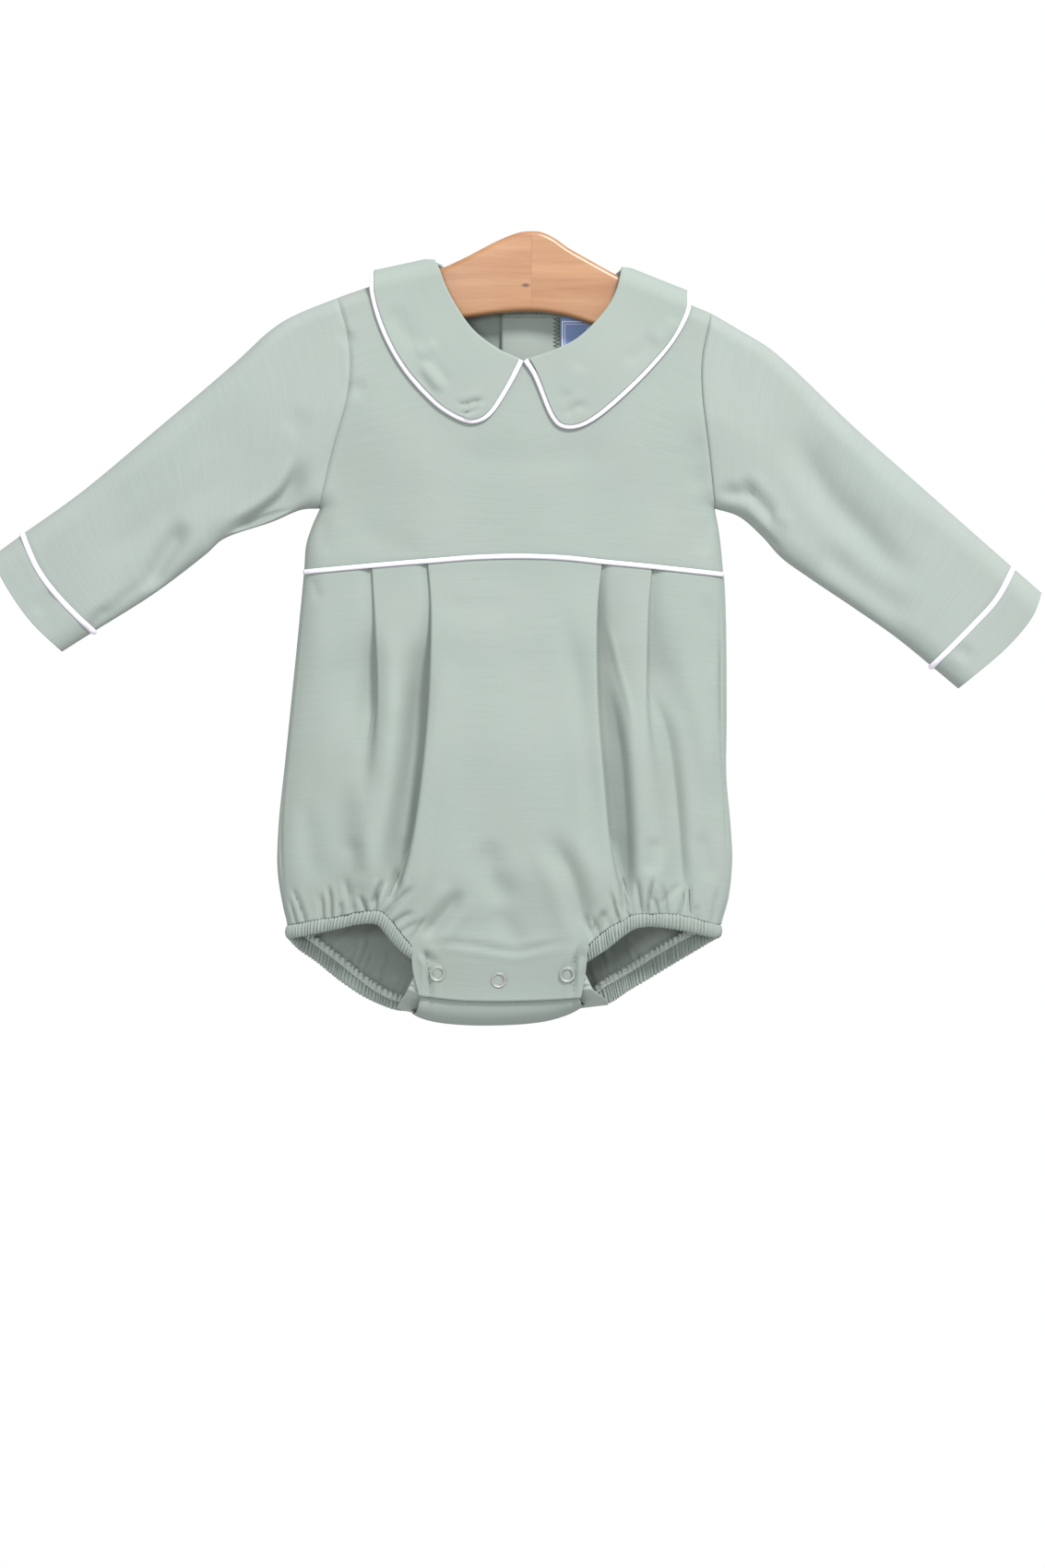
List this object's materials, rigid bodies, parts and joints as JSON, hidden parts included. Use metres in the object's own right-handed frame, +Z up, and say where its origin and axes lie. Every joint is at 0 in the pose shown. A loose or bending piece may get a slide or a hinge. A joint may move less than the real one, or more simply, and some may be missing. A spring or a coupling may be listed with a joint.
{
  "type": "bubble romper on a wooden hanger",
  "caption": "Baby's long-sleeved bubble romper with round piped collar, pleated front and gathered leg holes, hanging flat on a wooden hanger.",
  "frame": {"origin": "top of the hanger's crest, on its front to back middle plane", "axes": "+Z up, +X to the viewer's right of the front, -Y out of the front"},
  "size_m": [0.6262, 0.051, 0.4736],
  "materials": {
    "jersey": "matte slub cotton jersey, sage green",
    "piping": "white corded piping",
    "label": "plain blue woven label",
    "snap_metal": "satin ring snap metal",
    "button_plastic": "pale matte plastic button",
    "wood": "satin lacquered pale brown wood"
  },
  "bodies": {
    "root": {"front_yoke": "jersey", "front_skirt": "jersey", "back_bodice_left": "jersey", "back_bodice_right": "jersey", "back_skirt": "jersey", "sleeve_left": "jersey", "sleeve_right": "jersey", "cuff_left": "jersey", "cuff_right": "jersey", "collar_left": "jersey", "collar_right": "jersey", "leg_band_left": "jersey", "leg_band_right": "jersey", "back_placket_facing": "jersey", "collar_piping_left": "piping", "collar_piping_right": "piping", "cuff_piping_left": "piping", "cuff_piping_right": "piping", "waist_piping": "piping", "neck_label": "label", "ring_snap_1": "snap_metal", "ring_snap_2": "snap_metal", "ring_snap_3": "snap_metal", "back_button_1": "button_plastic", "back_button_2": "button_plastic", "back_button_3": "button_plastic", "hanger_left_half": "wood", "hanger_right_half": "wood"}
  },
  "joints": []
}
